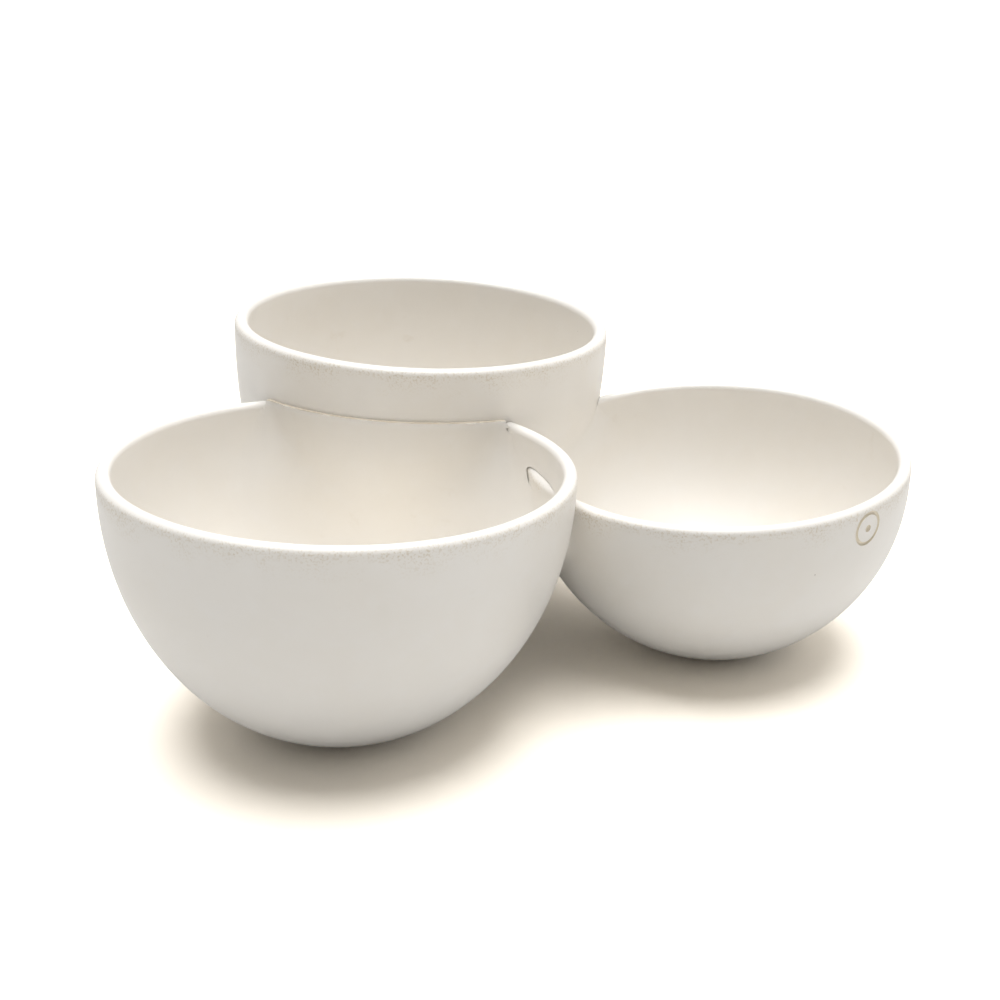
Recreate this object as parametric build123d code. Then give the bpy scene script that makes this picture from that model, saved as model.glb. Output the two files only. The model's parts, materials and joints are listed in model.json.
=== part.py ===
from build123d import *

import math
import os
from dataclasses import dataclass

# A set of three hand-thrown bowls of different width and height, joined while the clay was
# soft. Millimetres, +Z up. The origin is on the table, under the middle of the whole set.
# The back bowl is whole. The side bowl and the front bowl are cut away where it passes
# through them, and the front bowl also straddles the side bowl's lip.


@dataclass
class Bowl:
    """One thrown bowl: its own sizes, and how it leans."""

    rim_radius: float  # outside, just under the lip
    height: float  # along the bowl's own axis, to the crown of the lip
    wall: float  # thickness at the lip, which is fully rounded
    floor: float  # thickness at the middle of the bowl's floor
    foot_radius: float  # where the underside starts to curve up
    well_radius: float  # where the inside starts to curve up
    flare: float  # above 2 the side turns upright sooner
    fullness: float  # higher gives a fuller belly low down
    lean: tuple  # slope of the axis towards +X and +Y
    mouth: tuple = (0.0, 0.0)  # middle of the mouth seen from above, worked out below


FRONT = Bowl(
    rim_radius=75.0,
    height=89.7,
    wall=4.6,
    floor=7.0,
    foot_radius=17.2,
    well_radius=13.0,
    flare=2.14,
    fullness=1.62,
    lean=(0.065, 0.023),
)
BACK = Bowl(
    rim_radius=72.4,
    height=109.0,
    wall=5.2,
    floor=7.5,
    foot_radius=15.9,
    well_radius=12.0,
    flare=2.37,
    fullness=2.01,
    lean=(0.072, -0.023),
)
SIDE = Bowl(
    rim_radius=66.9,
    height=75.6,
    wall=4.4,
    floor=6.5,
    foot_radius=13.5,
    well_radius=10.0,
    flare=2.38,
    fullness=1.42,
    lean=(-0.019, -0.069),
)
OUTLINE_POINTS = 11  # points on each side of a wall, from the foot to the lip
FOOT_TRIM = 1.2  # shaved off each leaning underside, so that its foot is flat on the table

# How far the round of one bowl's rim reaches into another's, seen from above.
FRONT_BACK_BITE = 33.9
FRONT_SIDE_BITE = 9.1
SIDE_BACK_BITE = 15.1
BACK_BEARING = 79.6  # degrees from +X, from the front bowl's mouth to the back bowl's

# Luting clay: a skin inside, on the wall that passes through, and a coil in each crotch outside.
FRONT_BACK_SKIN = 1.8
SIDE_BACK_SKIN = 1.2
FRONT_SIDE_SKIN = 0.8
COIL_SKIN = 2.0
POCKET_FILL = 1.8  # by how much the clay overfills the round gap left between the three bowls
FRONT_BACK_LEDGE = 0.9  # the skin stops this far above the lip of the bowl that it is in
SIDE_BACK_LEDGE = -1.0
FRONT_SIDE_LEDGE = -1.0

# The potter's seal, pressed into the side bowl: a ring and a dot.
SEAL_RADIUS = 6.0
SEAL_LINE = 1.2  # width of the ring, and radius of the dot
SEAL_DEPTH = 0.6
SEAL_DROP = 8.2  # its middle lies this far under the lip
SEAL_TURN = -52.0  # degrees round the side bowl from +X


def set_mouths():
    """Sets the three mouths in a triangle whose sides follow from the rims and their bites."""
    to_back = FRONT.rim_radius + BACK.rim_radius - FRONT_BACK_BITE
    to_side = FRONT.rim_radius + SIDE.rim_radius - FRONT_SIDE_BITE
    across = SIDE.rim_radius + BACK.rim_radius - SIDE_BACK_BITE
    corner = math.acos((to_back**2 + to_side**2 - across**2) / (2 * to_back * to_side))
    bearing = math.radians(BACK_BEARING)
    BACK.mouth = (to_back * math.cos(bearing), to_back * math.sin(bearing))
    SIDE.mouth = (to_side * math.cos(bearing - corner), to_side * math.sin(bearing - corner))


def foot_of(bowl):
    """Where the bowl's axis meets the table, back along its lean from the mouth."""
    return tuple(mouth - slope * bowl.height for mouth, slope in zip(bowl.mouth, bowl.lean))


def swell(bowl, rise):
    """How far out the wall has come, 0 at the foot and 1 at the lip, at this share of its height."""
    return (1 - (1 - rise) ** bowl.flare) ** (1 / bowl.fullness)


def curve(bowl, start, end):
    """One side of the wall, flat where it leaves the foot and upright where it meets the lip."""
    points = []
    for step in range(OUTLINE_POINTS):
        rise = (step / (OUTLINE_POINTS - 1)) ** 2
        radius = start[0] + (end[0] - start[0]) * swell(bowl, rise)
        points.append((radius, start[1] + (end[1] - start[1]) * rise))
    return Spline(*points, tangents=[(1, 0), (0, 1)])


def shoulder(bowl):
    """The height where the lip starts to round."""
    return bowl.height - bowl.wall / 2


def outer_curve(bowl, skin=0.0):
    """The outside of the wall, thickened by a skin of clay."""
    start = (bowl.foot_radius + skin, 0)
    return curve(bowl, start, (bowl.rim_radius + skin, shoulder(bowl)))


def inner_curve(bowl):
    """The inside of the wall."""
    start = (bowl.well_radius, bowl.floor)
    return curve(bowl, start, (bowl.rim_radius - bowl.wall, shoulder(bowl)))


def turned(edges):
    """A closed outline in radius and height, turned about the bowl's axis."""
    return revolve(Plane.XZ * make_face(edges), Axis.Z)


def standing(bowl, solid):
    """The solid on the bowl's leaning axis, with the foot trimmed flat on the table."""
    foot_x, foot_y = foot_of(bowl)
    across = (1, 0, -bowl.lean[0])
    axis = Plane(origin=(foot_x, foot_y, -FOOT_TRIM), x_dir=across, z_dir=(*bowl.lean, 1))
    reach = 4 * bowl.rim_radius
    under_table = Box(reach, reach, reach, align=(Align.CENTER, Align.CENTER, Align.MAX))
    return axis * solid - Pos(foot_x, foot_y, 0) * under_table


def wall_solid(bowl):
    """The bowl as it was thrown."""
    outer = outer_curve(bowl)
    inner = inner_curve(bowl)
    crown = (bowl.rim_radius - bowl.wall / 2, bowl.height)
    lip = ThreePointArc(outer @ 1, crown, inner @ 1)
    floor_line = Line(inner @ 0, (0, bowl.floor))
    axis_line = Line((0, bowl.floor), (0, 0))
    foot_line = Line((0, 0), outer @ 0)
    return turned([outer, lip, inner, floor_line, axis_line, foot_line])


def body_solid(bowl):
    """The bowl's outside up to the crown of its lip, filled in: what it takes from a neighbour."""
    outer = outer_curve(bowl)
    crown = (bowl.rim_radius - bowl.wall / 2, bowl.height)
    half_lip = RadiusArc(outer @ 1, crown, -bowl.wall / 2)
    mouth_line = Line(crown, (0, bowl.height))
    axis_line = Line((0, bowl.height), (0, 0))
    foot_line = Line((0, 0), outer @ 0)
    return turned([outer, half_lip, mouth_line, axis_line, foot_line])


def skin_solid(bowl, skin):
    """The bowl's outside thickened by a skin of clay, filled in, up to where the lip starts."""
    outer = outer_curve(bowl, skin)
    top = shoulder(bowl)
    top_line = Line(outer @ 1, (0, top))
    axis_line = Line((0, top), (0, 0))
    foot_line = Line((0, 0), outer @ 0)
    return turned([outer, top_line, axis_line, foot_line])


def well_solid(bowl, ledge):
    """The bowl's inside, filled up to the level where the luting clay stops."""
    inner = inner_curve(bowl)
    inner_radius = bowl.rim_radius - bowl.wall
    over_lip = bowl.height + bowl.wall
    inside_line = Line(inner @ 1, (inner_radius, over_lip))
    top_line = Line((inner_radius, over_lip), (0, over_lip))
    axis_line = Line((0, over_lip), (0, bowl.floor))
    floor_line = Line((0, bowl.floor), inner @ 0)
    well = turned([inner, inside_line, top_line, axis_line, floor_line])
    lid = Cylinder(2 * bowl.rim_radius, bowl.height, align=(Align.CENTER, Align.CENTER, Align.MIN))
    return well - Pos(0, 0, bowl.height + ledge) * lid


def seal_solid(bowl):
    """The ring and dot of the potter's seal, as deep as they are pressed in."""
    rise = 1 - SEAL_DROP / bowl.height
    radius = bowl.foot_radius + (bowl.rim_radius - bowl.foot_radius) * swell(bowl, rise)
    face = Rot(0, 0, SEAL_TURN) * Pos(radius, 0, bowl.height - SEAL_DROP) * Rot(0, 90, 0)
    mark = Circle(SEAL_RADIUS) - Circle(SEAL_RADIUS - SEAL_LINE) + Circle(SEAL_LINE)
    return face * extrude(mark, SEAL_DEPTH, both=True)


def inside_seam(passing, skin, receiving, ledge):
    """The skin of clay on the wall that passes through, inside the bowl that receives it."""
    coated = standing(passing, skin_solid(passing, skin)) - standing(passing, body_solid(passing))
    return coated & standing(receiving, well_solid(receiving, ledge))


def outside_coil(first, second):
    """The clay pressed into the crotch between two bowls, where a skin of it on each would meet."""
    return standing(first, skin_solid(first, COIL_SKIN)) & standing(second, skin_solid(second, COIL_SKIN))


def pocket_gap():
    """Radius of the circle that just touches all three bowls, at the level of the lowest lip."""
    level = min(shoulder(bowl) for bowl in (FRONT, BACK, SIDE))
    rounds = []
    for bowl in (FRONT, BACK, SIDE):
        x, y = (foot + slope * level for foot, slope in zip(foot_of(bowl), bowl.lean))
        spread = (bowl.rim_radius - bowl.foot_radius) * swell(bowl, level / shoulder(bowl))
        rounds.append((x, y, bowl.foot_radius + spread))
    (x, y, radius), back, side = rounds
    (back_x, back_y), (side_x, side_y) = ((other[0] - x, other[1] - y) for other in (back, side))
    turn = back_x * side_y - back_y * side_x
    smallest, largest = -radius / 2, radius
    while largest - smallest > 0.001:
        gap = (smallest + largest) / 2
        reach = radius + gap
        to_back = (back_x**2 + back_y**2 + reach**2 - (back[2] + gap) ** 2) / 2
        to_side = (side_x**2 + side_y**2 + reach**2 - (side[2] + gap) ** 2) / 2
        middle_x = (to_back * side_y - to_side * back_y) / turn
        middle_y = (to_side * back_x - to_back * side_x) / turn
        if math.hypot(middle_x, middle_y) > reach:
            smallest = gap
        else:
            largest = gap
    return largest


def pocket_plug():
    """The clay in the pocket between all three bowls, where the three coils run together."""
    skin = max(pocket_gap(), 0) + POCKET_FILL
    front, back, side = (standing(bowl, skin_solid(bowl, skin)) for bowl in (FRONT, BACK, SIDE))
    return front & back & side


def build():
    back_body = standing(BACK, body_solid(BACK))
    side_body = standing(SIDE, body_solid(SIDE))
    front_body = standing(FRONT, body_solid(FRONT))
    bodies = [front_body, back_body, side_body]

    front_back_seam = inside_seam(BACK, FRONT_BACK_SKIN, FRONT, FRONT_BACK_LEDGE) - side_body
    front_back_coil = outside_coil(FRONT, BACK) + pocket_plug() - bodies
    side_back_coil = outside_coil(SIDE, BACK) - bodies - front_back_coil
    front_side_coil = outside_coil(FRONT, SIDE) - bodies - front_back_coil - side_back_coil
    side_back_seam = inside_seam(BACK, SIDE_BACK_SKIN, SIDE, SIDE_BACK_LEDGE)
    front_side_seam = inside_seam(SIDE, FRONT_SIDE_SKIN, FRONT, FRONT_SIDE_LEDGE)
    return {
        "back_bowl": standing(BACK, wall_solid(BACK)),
        "side_bowl": standing(SIDE, wall_solid(SIDE) - seal_solid(SIDE)) - back_body,
        "front_bowl": standing(FRONT, wall_solid(FRONT)) - back_body - side_body,
        "front_back_seam": front_back_seam,
        "side_back_seam": side_back_seam,
        "front_side_seam": front_side_seam - back_body - front_back_seam,
        "front_back_coil": front_back_coil,
        "side_back_coil": side_back_coil,
        "front_side_coil": front_side_coil,
    }


set_mouths()
pieces = build()
middle = Compound(children=[Part() + piece for piece in pieces.values()]).bounding_box().center()
to_origin = Pos(-middle.X, -middle.Y, 0)
os.makedirs("parts", exist_ok=True)
for name, piece in pieces.items():
    export_step(to_origin * piece, f"parts/{name}.step")
for name, bowl in {"front": FRONT, "back": BACK, "side": SIDE}.items():
    foot_x, foot_y = foot_of(bowl)
    print(f"{name} foot at {foot_x - middle.X:.3f}, {foot_y - middle.Y:.3f}")
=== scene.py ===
import json
import math

import bmesh
import bpy
import numpy as np
from mathutils import Matrix, Vector


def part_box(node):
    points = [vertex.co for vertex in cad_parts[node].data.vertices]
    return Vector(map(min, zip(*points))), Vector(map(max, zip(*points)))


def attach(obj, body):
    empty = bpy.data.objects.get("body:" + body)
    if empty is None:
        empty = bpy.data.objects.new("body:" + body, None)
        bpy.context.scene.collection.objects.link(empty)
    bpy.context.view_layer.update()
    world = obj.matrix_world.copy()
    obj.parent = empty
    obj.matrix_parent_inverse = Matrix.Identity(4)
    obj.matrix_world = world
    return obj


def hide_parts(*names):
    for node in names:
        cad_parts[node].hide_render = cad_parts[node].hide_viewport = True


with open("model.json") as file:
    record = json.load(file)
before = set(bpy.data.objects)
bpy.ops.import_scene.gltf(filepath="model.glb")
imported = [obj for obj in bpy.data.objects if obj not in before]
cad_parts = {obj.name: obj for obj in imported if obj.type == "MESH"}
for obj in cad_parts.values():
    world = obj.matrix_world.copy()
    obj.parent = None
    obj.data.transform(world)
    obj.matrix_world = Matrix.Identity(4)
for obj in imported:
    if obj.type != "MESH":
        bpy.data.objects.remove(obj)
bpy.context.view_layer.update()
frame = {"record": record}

MM = 0.001  # sizes below are in millimetres, and become metres where a mesh is made
feet = {mount["name"]: mount["pos_m"] for mount in frame["record"]["mounts"]}

# ---------------------------------------------------------------------------------------
# Back bowl. The tallest of the three, thrown in pale stoneware and left whole: both of
# its neighbours are cut to fit round it. The wall is drawn up in one curve from a small
# trimmed foot to a fully rounded lip, so the mesh is that one outline turned on its axis.
# ---------------------------------------------------------------------------------------

BACK = {
    "Rim Radius": 72.4,
    "Height": 109.0,
    "Wall": 5.2,
    "Floor": 7.5,
    "Foot Radius": 15.9,
    "Well Radius": 12.0,
    "Flare": 2.37,
    "Fullness": 2.01,
    "Foot": [c / MM for c in feet["back_foot"]],
    "Lean": (0.072, -0.023),
    "Throw": 11.0,  # which throwing this was, so that each strays its own way
}
FOOT_TRIM = 1.2  # shaved off the underside, so that the leaning bowl stands flat
WOBBLE = 0.5  # how far a hand-thrown wall strays from round, always inwards
LIP_WAVE = 0.6  # how far the lip dips below level
AROUND = 320  # faces round a bowl
ALONG = 200  # faces from the middle of the foot, over the lip, to the middle of the floor
WELD = 0.004  # closer corners become one: where the turn closes, and in the middle of foot and floor


class Field:
    """A value that runs through a node tree, so that a tree can be written as a formula."""

    def __init__(self, tree, socket):
        self.tree = tree
        self.socket = socket

    def math(self, operation, other=None, swap=False):
        node = self.tree.nodes.new("ShaderNodeMath")
        node.operation = operation
        first, second = node.inputs[1 if swap else 0], node.inputs[0 if swap else 1]
        self.tree.links.new(self.socket, first)
        if isinstance(other, Field):
            self.tree.links.new(other.socket, second)
        elif other is not None:
            second.default_value = other
        return Field(self.tree, node.outputs[0])

    def __add__(self, other):
        return self.math("ADD", other)

    def __sub__(self, other):
        return self.math("SUBTRACT", other)

    def __rsub__(self, other):
        return self.math("SUBTRACT", other, swap=True)

    def __mul__(self, other):
        return self.math("MULTIPLY", other)

    def __truediv__(self, other):
        return self.math("DIVIDE", other)

    def __rtruediv__(self, other):
        return self.math("DIVIDE", other, swap=True)

    def __pow__(self, other):
        return self.math("POWER", other)

    __radd__ = __add__
    __rmul__ = __mul__

    def sin(self):
        return self.math("SINE")

    def cos(self):
        return self.math("COSINE")

    def stretch(self, start, end):
        """0 before start, 1 after end, and even between them."""
        return (self - start).math("DIVIDE", end - start).math("MAXIMUM", 0.0).math("MINIMUM", 1.0)


def stray(angle, throw, cosine):
    """How far a wall strays from round at an angle, from 0 to 1; each throw strays its own way."""
    return (cosine(angle * 2.0 + throw) + 0.6 * cosine(angle * 3.0 - throw * 2.0)
            + 0.4 * cosine(angle * 5.0 + throw * 3.0)) * 0.25 + 0.5


def wire(tree, node_type, inputs=(), **settings):
    """A new node with its settings, and what goes into its sockets, by name."""
    node = tree.nodes.new(node_type)
    for name, value in settings.items():
        setattr(node, name, value)
    for name, value in dict(inputs).items():
        if isinstance(value, Field):
            value = value.socket
        if isinstance(value, bpy.types.NodeSocket):
            tree.links.new(value, node.inputs[name])
        else:
            node.inputs[name].default_value = value
    return node


def thrown_bowl_tree():
    """The rule of a thrown bowl: one outline, turned on its axis, leaned over, trimmed flat."""
    tree = bpy.data.node_groups.new("thrown bowl", "GeometryNodeTree")
    sizes = ("Rim Radius", "Height", "Wall", "Floor", "Foot Radius", "Well Radius", "Flare", "Fullness",
             "Wobble", "Lip Wave", "Throw", "Filled")
    for name in sizes:
        tree.interface.new_socket(name=name, in_out="INPUT", socket_type="NodeSocketFloat")
    for name in ("Foot", "Turn"):
        tree.interface.new_socket(name=name, in_out="INPUT", socket_type="NodeSocketVector")
    tree.interface.new_socket(name="Glaze", in_out="INPUT", socket_type="NodeSocketMaterial")
    tree.interface.new_socket(name="Mesh", in_out="OUTPUT", socket_type="NodeSocketGeometry")
    given = tree.nodes.new("NodeGroupInput").outputs
    size = {name: Field(tree, given[name]) for name in sizes}
    rim, height, wall, floor = (size[n] for n in ("Rim Radius", "Height", "Wall", "Floor"))
    foot, well = size["Foot Radius"], size["Well Radius"]

    grid = wire(tree, "GeometryNodeMeshGrid", {"Size X": 1.0, "Size Y": 1.0,
                                               "Vertices X": AROUND + 1, "Vertices Y": ALONG + 1})
    flat_place = tree.nodes.new("GeometryNodeInputPosition").outputs[0]
    place = wire(tree, "ShaderNodeSeparateXYZ", {"Vector": flat_place})
    angle = (Field(tree, place.outputs["X"]) + 0.5) * (2 * math.pi)
    along = Field(tree, place.outputs["Y"]) + 0.5

    # The outline in five stretches: under the foot, up the outside, over the lip, down the
    # inside, and across the floor. A filled bowl goes straight in from the top of its lip.
    ends = (0.00, 0.05, 0.44, 0.56, 0.96, 1.00)
    under, up, over, down, across = (along.stretch(start, end) for start, end in zip(ends, ends[1:]))

    def swell(rise):
        return (1.0 - (1.0 - rise) ** size["Flare"]) ** (1.0 / size["Fullness"])

    shoulder = height - wall * 0.5
    rise_out = up * up
    rise_in = (1.0 - down) * (1.0 - down)
    open_radius = (foot * under + (rim - foot) * swell(rise_out) + wall * 0.5 * ((over * math.pi).cos() - 1.0)
                   - (rim - wall - well) * (1.0 - swell(rise_in)) - well * across)
    open_height = (shoulder * rise_out + wall * 0.5 * (over * math.pi).sin()
                   - (shoulder - floor) * (1.0 - rise_in))
    quarter = over * (math.pi / 2)
    full_radius = (foot * under + (rim - foot) * swell(rise_out) + wall * 0.5 * (quarter.cos() - 1.0)
                   - (rim - wall * 0.5) * down)
    full_height = shoulder * rise_out + wall * 0.5 * quarter.sin()
    filled = size["Filled"]
    radius = open_radius * (1.0 - filled) + full_radius * filled
    level = open_height * (1.0 - filled) + full_height * filled

    # The hand's share: a slow stray from round that grows with height, and a lip that dips.
    share = level / height
    astray = stray(angle, size["Throw"], lambda field: field.cos())
    radius = radius * (1.0 - size["Wobble"] / rim * share * astray)
    dip = stray(angle, size["Throw"] + 2.0, lambda field: field.cos())
    level = level - size["Lip Wave"] * share ** 4.0 * dip

    turned = wire(tree, "ShaderNodeCombineXYZ", {
        "X": radius * angle.cos(), "Y": radius * angle.sin(), "Z": level})
    formed = wire(tree, "GeometryNodeSetPosition", {
        "Geometry": grid.outputs[0], "Position": turned.outputs[0]})
    closed = wire(tree, "GeometryNodeMergeByDistance", {"Geometry": formed.outputs[0], "Distance": WELD})
    leaned = wire(tree, "GeometryNodeTransform", {
        "Geometry": closed.outputs[0], "Translation": given["Foot"], "Rotation": given["Turn"]})
    stood = tree.nodes.new("GeometryNodeInputPosition").outputs[0]
    spot = wire(tree, "ShaderNodeSeparateXYZ", {"Vector": stood})
    flat = wire(tree, "ShaderNodeCombineXYZ", {
        "X": spot.outputs["X"], "Y": spot.outputs["Y"],
        "Z": Field(tree, spot.outputs["Z"]).math("MAXIMUM", 0.0)})
    trimmed = wire(tree, "GeometryNodeSetPosition", {
        "Geometry": leaned.outputs[0], "Position": flat.outputs[0]})
    metres = wire(tree, "GeometryNodeTransform", {"Geometry": trimmed.outputs[0], "Scale": (MM, MM, MM)})
    real = wire(tree, "GeometryNodeRealizeInstances", {"Geometry": metres.outputs[0]})
    glazed = wire(tree, "GeometryNodeSetMaterial", {"Geometry": real.outputs[0], "Material": given["Glaze"]})
    out = tree.nodes.new("NodeGroupOutput")
    tree.links.new(glazed.outputs[0], out.inputs[0])
    return tree


def turn_of(bowl):
    """The turn that leans an upright bowl, with no twist about its axis."""
    return Vector((0.0, 0.0, 1.0)).rotation_difference(Vector((*bowl["Lean"], 1.0)))


def thrown_bowl(name, bowl, glaze, grow=0.0, filled=False):
    """A bowl made by the tree, as a plain mesh. grow moves its outside out by that much."""
    mesh = bpy.data.meshes.new(name)
    piece = bpy.data.objects.new(name, mesh)
    bpy.context.scene.collection.objects.link(piece)
    rule = piece.modifiers.new("rule", "NODES")
    rule.node_group = THROWN
    values = {
        **bowl,
        "Foot": [*(Vector(bowl["Foot"]) - Vector((0.0, 0.0, FOOT_TRIM)))],
        "Turn": [*turn_of(bowl).to_euler()],
        "Wobble": WOBBLE,
        "Lip Wave": LIP_WAVE,
        "Filled": float(filled),
        "Glaze": glaze,
    }
    for size in ("Rim Radius", "Foot Radius", "Height"):
        values[size] += grow
    for item in THROWN.interface.items_tree:
        if item.in_out == "INPUT":
            rule[item.identifier] = values[item.name]
    return settled(piece)


def settled(piece):
    """The piece with its modifiers carried out: one plain mesh, smooth, faces outwards."""
    bpy.context.view_layer.update()
    graph = bpy.context.evaluated_depsgraph_get()
    mesh = bpy.data.meshes.new_from_object(piece.evaluated_get(graph))
    piece.modifiers.clear()
    piece.data = mesh
    mesh.name = piece.name
    mesh.polygons.foreach_set("use_smooth", [True] * len(mesh.polygons))
    return piece


def noise(tree, place, grain, detail=3.0, roughness=0.5):
    """Even noise from 0 to 1 with its grain in millimetres."""
    cloud = wire(tree, "ShaderNodeTexNoise", {"Vector": place, "Scale": 1.0 / (grain * MM),
                                              "Detail": detail, "Roughness": roughness})
    return Field(tree, cloud.outputs["Fac"])


def spots(tree, place, spacing, radius, share):
    """Round spots: one in each cell of the spacing, in a share of the cells; 1 in their middles."""
    cells = wire(tree, "ShaderNodeTexVoronoi", {"Vector": place, "Scale": 1.0 / (spacing * MM)})
    picked = wire(tree, "ShaderNodeSeparateColor", {"Color": cells.outputs["Color"]})
    near = 1.0 - Field(tree, cells.outputs["Distance"]).stretch(0.3 * radius / spacing, radius / spacing)
    return near * (1.0 - Field(tree, picked.outputs[0]).stretch(share, share + 0.001))


def coloured(tree, ground, layers):
    """A ground colour with layers of (mask, colour) over it."""
    for mask, colour in layers:
        mix = wire(tree, "ShaderNodeMix", data_type="RGBA")
        tree.links.new(mask.socket, mix.inputs[0])
        mix.inputs[7].default_value = colour
        if isinstance(ground, bpy.types.NodeSocket):
            tree.links.new(ground, mix.inputs[6])
        else:
            mix.inputs[6].default_value = ground
        ground = mix.outputs[2]
    return ground


CREAM = (0.905, 0.875, 0.825, 1.0)
WARM_CREAM = (0.88, 0.835, 0.76, 1.0)  # where the glaze lies thin, and painted shade under the outer edge of a lip
MILK_AND_LIP_HIGHLIGHT = (0.92, 0.90, 0.87, 1.0)  # where it is thick, and a painted highlight along the lip
BREAK = (0.80, 0.66, 0.45, 1.0)  # where it breaks over a crisp edge
IRON = (0.16, 0.10, 0.06, 1.0)
# also painted shade, with WARM_CREAM, just under the outer edge of a lip
STAIN_AND_SHADE = (0.66, 0.57, 0.43, 1.0)
POOLED = (0.78, 0.69, 0.53, 1.0)  # where it has run into a groove
RAW_CLAY = (0.52, 0.42, 0.31, 1.0)
RING_DRIFT = 0.02  # how fast the throwing rings change sideways, next to how fast with height


def cream_glaze(name, bowl, ground=CREAM):
    """Satin cream glaze on pale stoneware, as it lies on a bowl: it knows how far the lip is."""
    material = bpy.data.materials.new(name)
    material.use_nodes = True
    tree = material.node_tree
    place = tree.nodes.new("ShaderNodeTexCoord").outputs["Object"]
    spot = wire(tree, "ShaderNodeSeparateXYZ", {"Vector": place})
    x, y, z = (Field(tree, spot.outputs[axis]) * (1.0 / MM) for axis in "XYZ")
    axis = Vector((*bowl["Lean"], 1.0)).normalized()
    foot = Vector(bowl["Foot"]) - Vector((0.0, 0.0, FOOT_TRIM))
    level = x * axis.x + y * axis.y + z * axis.z - foot.dot(axis)
    under_lip = bowl["Height"] - level
    from_foot = (x - foot.x) ** 2.0 + (y - foot.y) ** 2.0 + (z - foot.z) ** 2.0
    out = (from_foot - level ** 2.0) ** 0.5
    outside = (out - (bowl["Rim Radius"] - bowl["Wall"])).stretch(0.4 * bowl["Wall"], 0.6 * bowl["Wall"])

    clouds = noise(tree, place, grain=45.0)
    mottle = noise(tree, place, grain=7.0, detail=4.0)
    grain = noise(tree, place, grain=0.7, detail=2.0)
    drift = RING_DRIFT * MM
    ring_place = wire(tree, "ShaderNodeCombineXYZ", {"X": x * drift, "Y": y * drift, "Z": level * MM})
    rings = noise(tree, ring_place.outputs[0], grain=2.6, detail=2.0)
    iron = spots(tree, place, spacing=6.0, radius=0.34, share=0.014)
    pinholes = spots(tree, place, spacing=2.6, radius=0.3, share=0.16)

    # Where the glaze changes, mostly by millimetres under the lip; the ledge stands above it. The lip itself
    # is painted whiter, a painted highlight, and just under its outer edge the colour is painted darker, a
    # painted shade where the round turns from the light.
    # painted highlight: the last two millimetres up to the lip are painted whiter
    lip_highlight = 1.0 - under_lip.stretch(0.5, 2.0)
    # painted shade: the outside just under the lip's round is painted darker, where it turns from the light,
    # and is roughened too
    dry_line_and_shade = outside * under_lip.stretch(0.7, 1.3) * (1.0 - under_lip.stretch(2.0, 5.0))
    dry_patch = outside * under_lip.stretch(1.5, 3.0) * (1.0 - under_lip.stretch(5.0, 11.0))
    sandy_and_shade = dry_line_and_shade * 0.6 + dry_patch * 0.5 * noise(tree, place, grain=12.0).stretch(0.42, 0.62)
    ledge = 1.0 - under_lip.stretch(-0.75, -0.35)
    stains = noise(tree, place, grain=19.0, detail=5.0, roughness=0.65).stretch(0.66, 0.76) * 0.18
    bare = 1.0 - (z + mottle * 0.8).stretch(1.1, 1.7)

    colour = coloured(tree, ground, [
        (clouds.stretch(0.40, 0.68) * 0.55, WARM_CREAM),
        (mottle.stretch(0.50, 0.80) * 0.30, MILK_AND_LIP_HIGHLIGHT),
        # painted highlight: the lip is painted whiter, as the light falls on its round
        (lip_highlight * 0.35, MILK_AND_LIP_HIGHLIGHT),
        # painted shade just under the lip, and a dry, sandy patch lower down
        (sandy_and_shade * 0.35, WARM_CREAM),
        (sandy_and_shade * grain.stretch(0.50, 0.66) * 0.75, STAIN_AND_SHADE),
        (stains, STAIN_AND_SHADE),
        (ledge * 0.55, BREAK),
        (iron, IRON),
        (bare, RAW_CLAY),
    ])
    # How high each stands on the surface, in millimetres.
    height = (rings * 0.020 + mottle * 0.030 + grain * 0.004 + grain * sandy_and_shade * 0.16
              - pinholes * 0.05 + grain * bare * 0.06)
    bump = wire(tree, "ShaderNodeBump", {"Height": height, "Strength": 1.0, "Distance": MM})
    shine = 0.34 + mottle * 0.10 + sandy_and_shade * 0.20 + bare * 0.35
    shader = tree.nodes["Principled BSDF"]
    tree.links.new(colour, shader.inputs["Base Color"])
    tree.links.new(shine.socket, shader.inputs["Roughness"])
    tree.links.new(bump.outputs[0], shader.inputs["Normal"])
    shader.inputs["IOR"].default_value = 1.5
    return material


def glazed(piece, *nodes):
    """Fixes a glazed piece to the set, in place of the CAD nodes that it shows."""
    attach(piece, "root")
    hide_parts(*nodes)


scene = bpy.context.scene
THROWN = thrown_bowl_tree()
BACK_GLAZE = cream_glaze("cream glaze on the back bowl", BACK)
glazed(thrown_bowl("back_bowl_thrown", BACK, BACK_GLAZE), "back_bowl")

# ---------------------------------------------------------------------------------------
# Side bowl. The smallest, thrown in the same stoneware. While it was leather hard it was
# cut away where the back bowl passes through it, and the potter pressed a seal into its
# outside, just under the lip: here a plain ring and dot.
# ---------------------------------------------------------------------------------------

SIDE = {
    "Rim Radius": 66.9,
    "Height": 75.6,
    "Wall": 4.4,
    "Floor": 6.5,
    "Foot Radius": 13.5,
    "Well Radius": 10.0,
    "Flare": 2.38,
    "Fullness": 1.42,
    "Foot": [c / MM for c in feet["side_foot"]],
    "Lean": (-0.019, -0.069),
    "Throw": 23.0,  # which throwing this was, so that each strays its own way
}
CUT_GAP = 0.15  # a wall is cut this far clear of the bowl that passes through it
CREASE = math.radians(35)  # edges sharper than this stay crisp
SEAL_RADIUS = 6.0
SEAL_LINE = 0.65  # radius of the rod that the ring of the seal was bent from
SEAL_DOT = 2 * SEAL_LINE  # radius of the dot, which is pressed in half as deep
SEAL_DROP = 8.2  # its middle lies this far under the lip
SEAL_TURN = math.radians(-52.0)  # how far round the bowl it is from +X


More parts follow.
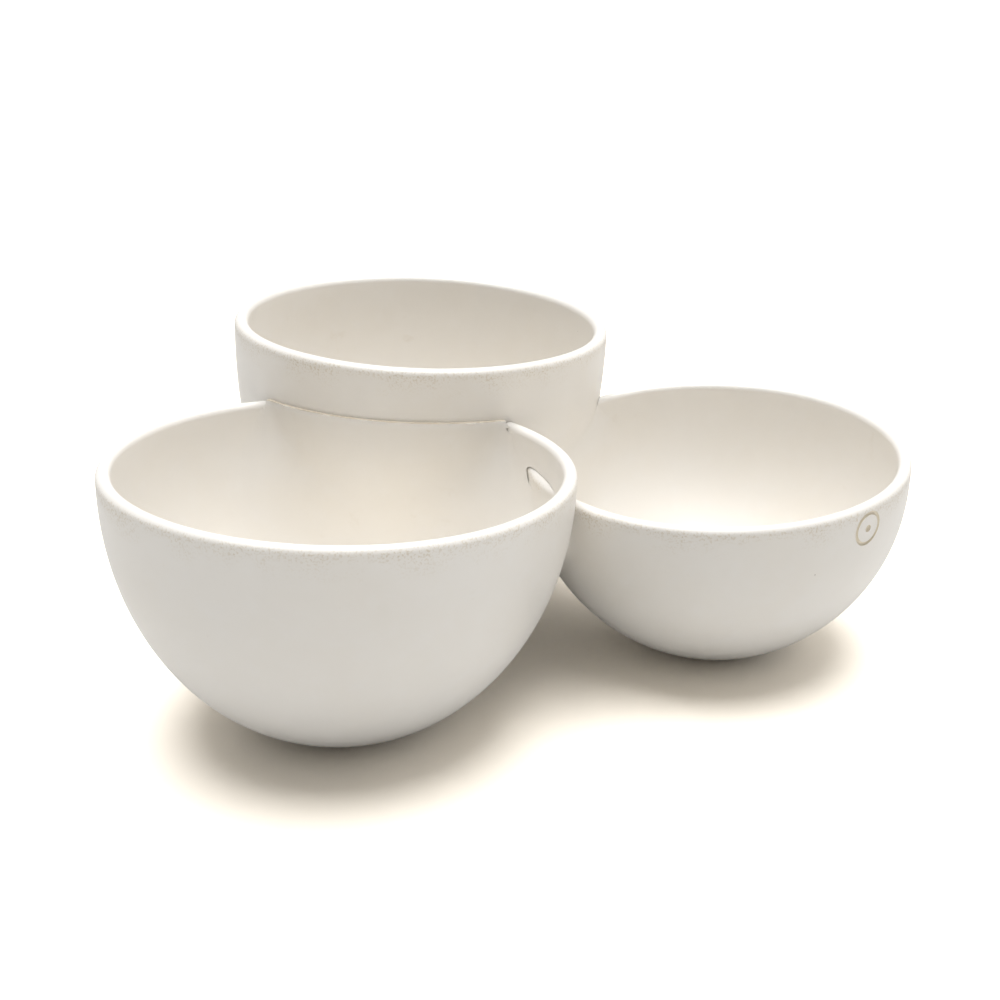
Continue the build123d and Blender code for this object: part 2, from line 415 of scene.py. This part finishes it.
def wall_at(level, angle, bowl, inside=False):
    """The radius of a wall's outside or inside at a level and an angle."""
    shoulder = bowl["Height"] - bowl["Wall"] / 2
    low = bowl["Floor"] if inside else 0.0
    start = bowl["Well Radius"] if inside else bowl["Foot Radius"]
    end = bowl["Rim Radius"] - (bowl["Wall"] if inside else 0.0)
    rise = np.clip((level - low) / (shoulder - low), 0.0, 1.0)
    swell = (1.0 - (1.0 - rise) ** bowl["Flare"]) ** (1.0 / bowl["Fullness"])
    share = WOBBLE / bowl["Rim Radius"] * level / bowl["Height"]
    return (start + (end - start) * swell) * (1.0 - share * stray(angle, bowl["Throw"], np.cos))


def seal_stamp(bowl):
    """The ring and dot of the seal, standing in the wall as deep as they are pressed in."""
    level = bowl["Height"] - SEAL_DROP
    radius = wall_at(level, SEAL_TURN, bowl)
    slope = wall_at(level + 0.5, SEAL_TURN, bowl) - wall_at(level - 0.5, SEAL_TURN, bowl)
    around = Matrix.Rotation(SEAL_TURN, 4, "Z")
    lean = turn_of(bowl).to_matrix().to_4x4()
    foot = Matrix.Translation(Vector(bowl["Foot"]) - Vector((0.0, 0.0, FOOT_TRIM)))
    outwards = Matrix.Rotation(math.pi / 2 + math.atan(slope), 4, "Y")
    stand = foot @ lean @ around @ Matrix.Translation((radius, 0.0, level)) @ outwards
    shape = bmesh.new()
    turns, sides = 96, 16
    ring = [[shape.verts.new((
        (SEAL_RADIUS - SEAL_LINE + SEAL_LINE * math.cos(b)) * math.cos(a),
        (SEAL_RADIUS - SEAL_LINE + SEAL_LINE * math.cos(b)) * math.sin(a),
        SEAL_LINE * math.sin(b),
    )) for b in np.linspace(0, 2 * math.pi, sides, endpoint=False)]
        for a in np.linspace(0, 2 * math.pi, turns, endpoint=False)]
    for i in range(turns):
        for j in range(sides):
            near, far = ring[i - 1], ring[i]
            shape.faces.new((near[j - 1], far[j - 1], far[j], near[j]))
    dot = bmesh.ops.create_icosphere(shape, subdivisions=3, radius=SEAL_DOT)
    bmesh.ops.scale(shape, vec=(1.0, 1.0, 0.5), verts=dot["verts"])
    bmesh.ops.transform(shape, matrix=Matrix.Scale(MM, 4) @ stand, verts=shape.verts)
    bmesh.ops.recalc_face_normals(shape, faces=shape.faces)
    mesh = bpy.data.meshes.new("seal_stamp")
    shape.to_mesh(mesh)
    shape.free()
    mesh.materials.append(cream_glaze("glaze pooled in the seal", bowl, POOLED))
    stamp = bpy.data.objects.new("seal_stamp", mesh)
    scene.collection.objects.link(stamp)
    return stamp


def cut_away(piece, *cutters):
    """The piece without what the cutters cover, with crisp edges where it was cut."""
    for cutter in cutters:
        cut = piece.modifiers.new("cut", "BOOLEAN")
        cut.operation = "DIFFERENCE"
        cut.solver = "EXACT"
        cut.material_mode = "TRANSFER"
        cut.object = cutter
    settled(piece)
    piece.data.set_sharp_from_angle(angle=CREASE)
    for cutter in cutters:
        bpy.data.objects.remove(cutter)
    return piece


SIDE_GLAZE = cream_glaze("cream glaze on the side bowl", SIDE)
side_bowl = thrown_bowl("side_bowl_thrown", SIDE, SIDE_GLAZE)
cut_away(side_bowl, thrown_bowl("back_body", BACK, SIDE_GLAZE, CUT_GAP, filled=True), seal_stamp(SIDE))
glazed(side_bowl, "side_bowl")

# ---------------------------------------------------------------------------------------
# Front bowl. The widest, cut away round both of its neighbours. Its wall straddles the lip
# of the side bowl, so a short stretch of that lip shows inside it.
# ---------------------------------------------------------------------------------------

FRONT = {
    "Rim Radius": 75.0,
    "Height": 89.7,
    "Wall": 4.6,
    "Floor": 7.0,
    "Foot Radius": 17.2,
    "Well Radius": 13.0,
    "Flare": 2.14,
    "Fullness": 1.62,
    "Foot": [c / MM for c in feet["front_foot"]],
    "Lean": (0.065, 0.023),
    "Throw": 37.0,  # which throwing this was, so that each strays its own way
}
BACK_GAP = 0.45  # the cuts are looser here, and show as dark nicks where a lip ends
SIDE_GAP = 0.3

FRONT_GLAZE = cream_glaze("cream glaze on the front bowl", FRONT)
front_bowl = cut_away(
    thrown_bowl("front_bowl_thrown", FRONT, FRONT_GLAZE),
    thrown_bowl("back_body", BACK, FRONT_GLAZE, BACK_GAP, filled=True),
    thrown_bowl("side_body", SIDE, FRONT_GLAZE, SIDE_GAP, filled=True),
)
glazed(front_bowl, "front_bowl")

# ---------------------------------------------------------------------------------------
# Clay inside the front bowl, on the back bowl's wall. A skin of soft clay hides the joint,
# is drawn out on to the front bowl's wall with a thumb, broader the deeper it goes, and
# ends above in a thin ledge, level with the lip, where the glaze breaks warm.
# ---------------------------------------------------------------------------------------

GRAIN = 0.8  # spacing of the lattice that the clay's surface is found on
ROOM = 15.0  # how far the lattice reaches past the clay's CAD node
ROOM_BELOW = 30.0  # and how far below it, where the drawn clay runs out
FEEL = 0.05  # half the distance over which the tilt of a field is felt
BEDDED = 2.0  # how deep the clay reaches into the walls that it joins
BED_FADE = 2.0  # over how far below the round of a lip the clay beds itself in
LIP_ZONE = 4.0  # from this far under a lip, the clay draws back to the inner face of the wall
LIP_FADE = 3.0  # and over this far it has drawn back
FEATHER = 0.03  # the clay's thin edge dips this far under the wall that it runs out on
FRONT_BACK_SKIN = 1.0  # thickness on the back bowl's wall
FRONT_BACK_LEDGE = 0.9  # above the front bowl's lip
FRONT_BACK_DRAW = (4.0, 24.0, 34.0)  # width of the drawn clay at the top, lower down, and how far down


def in_bowl(points, bowl):
    """Points in a bowl's own terms: out from its axis, up its axis, and angle round it."""
    own = (points - np.array(bowl["Foot"]) + (0.0, 0.0, FOOT_TRIM)) @ np.array(turn_of(bowl).to_matrix())
    return np.hypot(own[..., 0], own[..., 1]), own[..., 2], np.arctan2(own[..., 1], own[..., 0])


def off_wall(points, bowl, inside=False):
    """How far points stand off a wall, on the side that can be touched, and off its round lip."""
    out, level, angle = in_bowl(points, bowl)
    here = wall_at(level, angle, bowl, inside)
    slope = wall_at(level + 0.25, angle, bowl, inside) - wall_at(level - 0.25, angle, bowl, inside)
    off = (out - here) / np.hypot(1.0, slope / 0.5)
    half = bowl["Wall"] / 2
    above = level - (bowl["Height"] - half)
    middle = here + (half if inside else -half)
    return np.where(above > 0, np.hypot(out - middle, above) - half, -off if inside else off)


def eased(share):
    """From 0 to 1 with a soft start and end."""
    share = np.clip(share, 0.0, 1.0)
    return share * share * (3.0 - 2.0 * share)


def drawn_together(one, other, width):
    """The nearer of two walls, with clay drawn across the corner between them."""
    mix = np.clip(0.5 + 0.5 * (other - one) / width, 0.0, 1.0)
    return other * (1.0 - mix) + one * mix - width * mix * (1.0 - mix)


def surface_of(field, low, high):
    """The surface where a field of points is 0, as corners and faces that look outwards."""
    counts = [int(math.ceil((top - bottom) / GRAIN)) + 1 for bottom, top in zip(low, high)]
    rows = [bottom + GRAIN * np.arange(count) for bottom, count in zip(low, counts)]
    value = field(np.stack(np.meshgrid(*rows, indexing="ij"), -1))
    total = np.zeros([count - 1 for count in counts] + [3])
    hits = np.zeros([count - 1 for count in counts])
    rings = []
    for axis in range(3):
        order = [axis] + [a for a in range(3) if a != axis]
        back = np.argsort(order)
        turned = value.transpose(order)
        crossed = (turned[:-1] < 0) != (turned[1:] < 0)
        crossed[:, [0, -1]] = False
        crossed[:, :, [0, -1]] = False
        i, j, k = np.nonzero(crossed)
        first, second = turned[i, j, k], turned[i + 1, j, k]
        place = np.stack([i + first / (first - second), j, k], -1)[:, back]
        ring = []
        for step_j, step_k in ((-1, -1), (0, -1), (0, 0), (-1, 0)):
            cell = np.stack([i, j + step_j, k + step_k], -1)[:, back]
            np.add.at(total, tuple(cell.T), place)
            np.add.at(hits, tuple(cell.T), 1)
            ring.append(cell)
        ring = np.stack(ring, 1)
        inwards = (first < 0) == (axis == 1)
        ring[inwards] = ring[inwards][:, ::-1]
        rings.append(ring)
    used = hits > 0
    number = np.full(hits.shape, -1)
    number[used] = np.arange(used.sum())
    faces = np.concatenate([number[tuple(ring.transpose(2, 0, 1))] for ring in rings])
    corners = np.array(low) + GRAIN * total[used] / hits[used][:, None]
    return drawn_on(field, corners), faces


def drawn_on(field, corners):
    """Corners moved on to the surface where a field is 0, except where that moves them away."""
    for _ in range(4):
        here = field(corners)
        tilt = np.stack(
            [(field(corners + d) - field(corners - d)) / (2 * FEEL) for d in np.eye(3) * FEEL], -1)
        step = here[:, None] * tilt / np.maximum((tilt**2).sum(-1, keepdims=True), 0.2)
        moved = corners - np.clip(step, -GRAIN / 3, GRAIN / 3)
        nearer = np.abs(field(moved)) < np.abs(here)
        corners = np.where(nearer[:, None], moved, corners)
    return corners


def clay_piece(name, field, glaze, node):
    """The clay that a field of points describes, near the CAD node that it replaces, as a piece."""
    low, high = (np.array(corner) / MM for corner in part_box(node))
    corners, faces = surface_of(field, low - (ROOM, ROOM, ROOM_BELOW), high + ROOM)
    mesh = bpy.data.meshes.new(name)
    mesh.from_pydata((corners * MM).tolist(), [], faces.tolist())
    mesh.validate()
    mesh.materials.append(glaze)
    mesh.polygons.foreach_set("use_smooth", [True] * len(mesh.polygons))
    mesh.set_sharp_from_angle(angle=CREASE)
    piece = bpy.data.objects.new(name, mesh)
    scene.collection.objects.link(piece)
    glazed(piece, node)


def inside_clay(passing, receiving, skin, draw, over_top):
    """The field of a skin on the wall that passes through a bowl, drawn out on to that bowl."""
    narrow, wide, depth = draw

    def field(points):
        out, level, _ = in_bowl(points, receiving)
        wall, well = off_wall(points, passing), off_wall(points, receiving, inside=True)
        over = over_top(points)
        width = narrow + (wide - narrow) * eased(-over / depth)
        clay = drawn_together(wall - skin, well + FEATHER, width)
        bed = BEDDED * eased((receiving["Height"] - receiving["Wall"] / 2 - level) / BED_FADE)
        at_lip = eased((level - receiving["Height"] + LIP_ZONE) / LIP_FADE)
        inner_half = out - receiving["Rim Radius"] + receiving["Wall"] / 2 * (1.0 + at_lip)
        return np.max([clay, -wall - BEDDED, -well - bed, wall - width - skin, over, inner_half], axis=0)

    return field


def over_ledge(bowl, ledge):
    """How far points are above a level, measured from a bowl's lip."""
    return lambda points: in_bowl(points, bowl)[1] - (bowl["Height"] + ledge)


clay_piece(
    "front_back_seam_smoothed",
    inside_clay(BACK, FRONT, FRONT_BACK_SKIN, FRONT_BACK_DRAW, over_ledge(FRONT, FRONT_BACK_LEDGE)),
    FRONT_GLAZE,
    "front_back_seam",
)

# ---------------------------------------------------------------------------------------
# Clay inside the side bowl, on the back bowl's wall. It is only worked into the corner and
# feathered away on both sides, finer and finer towards the lip.
# ---------------------------------------------------------------------------------------

SIDE_BACK_DRAW = (0.6, 14.0, 20.0)  # as above: width at the top, lower down, and how far down
SIDE_BACK_LEDGE = -0.2  # just under the side bowl's lip

clay_piece(
    "side_back_seam_smoothed",
    inside_clay(BACK, SIDE, 0.0, SIDE_BACK_DRAW, over_ledge(SIDE, SIDE_BACK_LEDGE)),
    SIDE_GLAZE,
    "side_back_seam",
)

# ---------------------------------------------------------------------------------------
# Clay inside the front bowl, round the stretch of the side bowl's lip that shows there. The
# tool couldn't reach the corner under the end of that lip, so a short slit stays open.
# ---------------------------------------------------------------------------------------

FRONT_SIDE_DRAW = (0.6, 3.0, 10.0)
SLIT_DEPTH = 6.0  # how far down the slit goes from the side bowl's lip
SLIT_END = 2.0  # from here along X the clay rises to close it
SLIT_FADE = 5.0  # over how far it rises
SLIT_SHUT = 0.5  # how far under the lip the clay stops where the slit is closed


def over_slit(points):
    """How far points are above the clay's top, which rises to the lip where the slit ends."""
    shut = eased((points[..., 0] - SLIT_END) / SLIT_FADE)
    return in_bowl(points, SIDE)[1] - SIDE["Height"] + SLIT_DEPTH - (SLIT_DEPTH - SLIT_SHUT) * shut


clay_piece(
    "front_side_seam_smoothed",
    inside_clay(SIDE, FRONT, 0.0, FRONT_SIDE_DRAW, over_slit),
    FRONT_GLAZE,
    "front_side_seam",
)

# ---------------------------------------------------------------------------------------
# Coils outside. A coil of clay is pressed into the crotch between each two bowls and
# smoothed with a finger, thin under the lips and broader below, and one of them also plugs
# the pocket where all three bowls come together.
# ---------------------------------------------------------------------------------------

COIL_DRAW = (0.4, 7.0, 18.0)
COIL_DROP = 3.0  # the coils run out this far under the lower of two lips
POCKET_SKIN = 4.05  # clay on each of the three walls in the pocket, enough to close it


def outside_clay(first, second, third, plug):
    """The field of a coil outside two bowls, clear of the third, or plugging the pocket by it."""
    narrow, wide, depth = COIL_DRAW

    def field(points):
        one, other, last = (off_wall(points, bowl) for bowl in (first, second, third))
        tops = [in_bowl(points, bowl)[1] - bowl["Height"] + COIL_DROP for bowl in (first, second)]
        over = np.maximum(*tops)
        width = narrow + (wide - narrow) * eased(-over / depth)
        clay = drawn_together(one + FEATHER, other + FEATHER, width)
        clay = np.max([clay, one - width, other - width], axis=0)
        if plug:
            clay = np.minimum(clay, np.max([one, other, last], axis=0) - POCKET_SKIN)
        return np.max([clay, -one - BEDDED, -other - BEDDED, -last - BEDDED, over], axis=0)

    return field


for name, pair, third, glaze in (
    ("front_back_coil", (FRONT, BACK), SIDE, FRONT_GLAZE),
    ("side_back_coil", (SIDE, BACK), FRONT, SIDE_GLAZE),
    ("front_side_coil", (FRONT, SIDE), BACK, SIDE_GLAZE),
):
    clay_piece(name + "_smoothed", outside_clay(*pair, third, plug=third is SIDE), glaze, name)

# ---------------------------------------------------------------------------------------
# Floor, light and camera. White paper under a broad soft light from above and a little
# behind, in a tent that is pale behind and to the right, and dark in front.
# ---------------------------------------------------------------------------------------

FLOOR_REACH = 60.0
PAPER = (1.55, 1.46, 1.32, 1.0)  # as it shows, so white that its far edges are lost
PAPER_BOUNCE = (0.74, 0.73, 0.71, 1.0)  # as it lights the bowls
TENT_SIDES = 1.1  # brightness of the tent near the floor, and as it shows
TENT_FOOT = (0.02, 0.07)  # its sides turn into its top between these, as the Z of a direction
TENT_TOP = 0.62  # brightness behind; it falls off to the left and is dark in front
FALL, FALL_RIGHT, FALL_BEHIND = 0.45, 0.3, 0.5  # its share overhead, and more to the right and behind
SUN_STRENGTH = 3.6
SUN_SPREAD = math.radians(50)
SUN_FROM = (0.02, 0.06, 1.0)

floor_mesh = bpy.data.meshes.new("floor")
edge = (-FLOOR_REACH, FLOOR_REACH)
floor_mesh.from_pydata([(x, y, 0.0) for x in edge for y in edge], [], [(0, 2, 3, 1)])
paper = bpy.data.materials.new("white paper")
paper.use_nodes = True
sheet = paper.node_tree
seen = Field(sheet, sheet.nodes.new("ShaderNodeLightPath").outputs["Is Camera Ray"])
matt = wire(sheet, "ShaderNodeBsdfDiffuse", {"Color": coloured(sheet, PAPER_BOUNCE, [(seen, PAPER)])})
sheet.links.new(matt.outputs[0], sheet.nodes["Material Output"].inputs["Surface"])
floor_mesh.materials.append(paper)
floor = bpy.data.objects.new("floor", floor_mesh)
scene.collection.objects.link(floor)

tent = bpy.data.worlds.new("tent")
tent.use_nodes = True
sky = tent.node_tree
view = sky.nodes.new("ShaderNodeTexCoord").outputs["Generated"]
towards = wire(sky, "ShaderNodeSeparateXYZ", {"Vector": view})
up = Field(sky, towards.outputs["Z"]).stretch(*TENT_FOOT)
right, behind = Field(sky, towards.outputs["X"]), Field(sky, towards.outputs["Y"])
fall = (FALL + right * FALL_RIGHT + behind * FALL_BEHIND).stretch(0.0, 1.0)
shown = Field(sky, sky.nodes.new("ShaderNodeLightPath").outputs["Is Camera Ray"])
dark = up * (1.0 - shown)
glow = TENT_SIDES * (1.0 - dark) + fall * dark * TENT_TOP
sky.links.new(glow.socket, sky.nodes["Background"].inputs["Strength"])
sky.nodes["Background"].inputs["Color"].default_value = (1.0, 1.0, 1.0, 1.0)
scene.world = tent

sun = bpy.data.lights.new("softbox", "SUN")
sun.energy = SUN_STRENGTH
sun.angle = SUN_SPREAD
softbox = bpy.data.objects.new("softbox", sun)
softbox.rotation_euler = Vector(SUN_FROM).to_track_quat("Z", "Y").to_euler()
scene.collection.objects.link(softbox)
scene.view_settings.view_transform = "Standard"

EYE = Vector((-5.9, -441.9, 223.5)) * MM
PITCH = 0.3687  # radians that it looks down by
ROLL = 0.0233  # radians that it is turned about its own line of sight
FOCAL = 1.2988  # focal length, in widths of the sensor
SHIFT = (-0.0083, -0.0027)
camera = bpy.data.cameras.new("camera")
camera.sensor_width = 36.0
camera.lens = FOCAL * camera.sensor_width
camera.shift_x, camera.shift_y = SHIFT
camera.clip_start = 0.01
eye = bpy.data.objects.new("camera", camera)
eye.matrix_world = (
    Matrix.Translation(EYE) @ Matrix.Rotation(math.pi / 2 - PITCH, 4, "X") @ Matrix.Rotation(-ROLL, 4, "Z")
)
scene.collection.objects.link(eye)
scene.camera = eye
